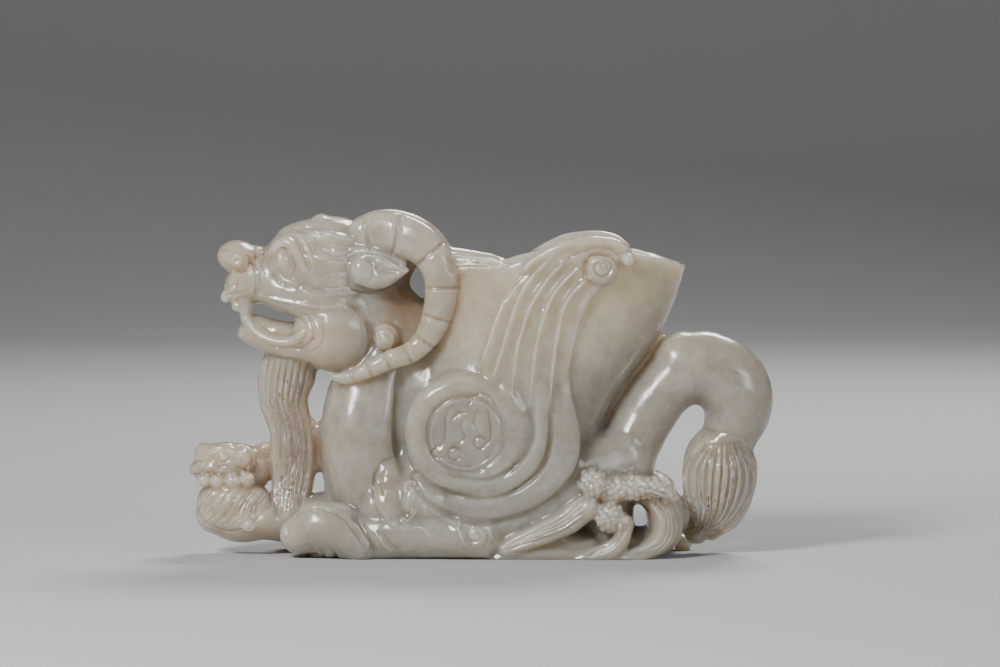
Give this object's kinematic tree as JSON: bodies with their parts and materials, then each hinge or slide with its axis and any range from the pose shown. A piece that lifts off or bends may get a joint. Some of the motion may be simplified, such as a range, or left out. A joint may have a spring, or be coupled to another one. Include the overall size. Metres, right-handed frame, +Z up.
{
  "type": "jade mythical beast vessel carving",
  "caption": "Carved jade cup in the form of a lying horned, winged beast, with an arched tail as handle, a small cub and curling waves at its base.",
  "frame": {"origin": "middle of the bounding box, on the flat underside", "axes": "+Z up, +X from the head towards the tail along the carving's length, +Y towards the hidden side"},
  "size_m": [0.1601, 0.0489, 0.0944],
  "materials": {
    "jade": "polished, waxy"
  },
  "bodies": {
    "root": {"jade_beast": "jade"}
  },
  "joints": []
}
